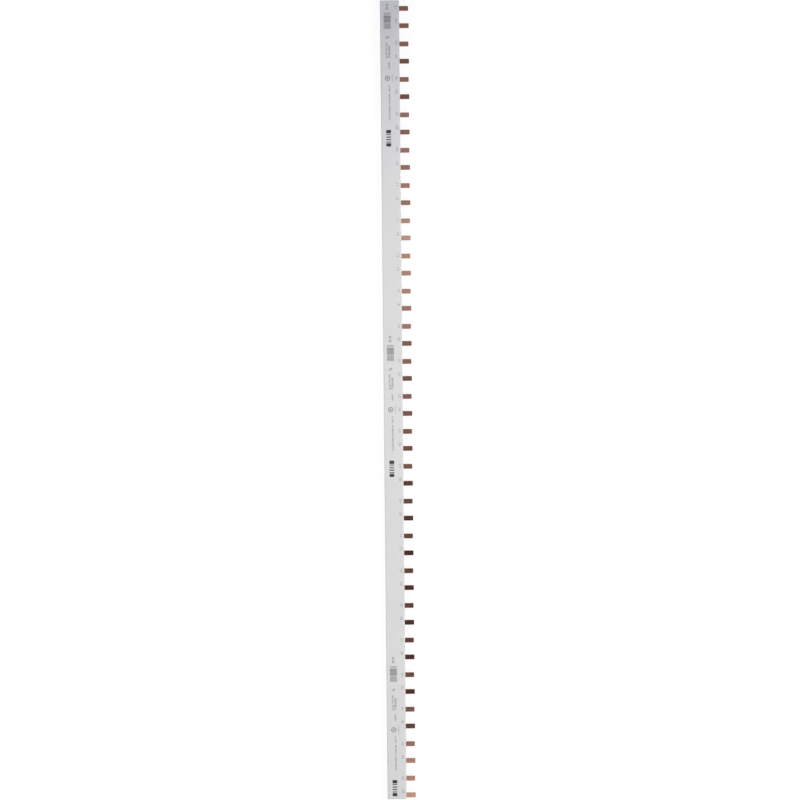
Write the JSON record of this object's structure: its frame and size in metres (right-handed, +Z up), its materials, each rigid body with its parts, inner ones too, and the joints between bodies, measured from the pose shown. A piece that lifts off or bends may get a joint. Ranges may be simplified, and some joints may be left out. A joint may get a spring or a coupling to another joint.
{
  "type": "two-pole comb busbar",
  "caption": "Long straight comb busbar: a grey insulating profile holds copper rails whose flat pins leave its mouth in one evenly spaced row.",
  "frame": {"origin": "bottom centre of the whole bar, pins included, as it lies on its broad face", "axes": "+X along the bar to the end with the first pin, pins point to -Y, +Z up out of the printed broad face"},
  "size_m": [0.812, 0.0288, 0.0091],
  "materials": {
    "grey_insulation": "smooth light grey extruded plastic, satin",
    "bare_copper": null
  },
  "bodies": {
    "root": {"insulating_profile": "grey_insulation", "first_pole_rail": "bare_copper", "second_pole_rail": "bare_copper"}
  },
  "joints": []
}
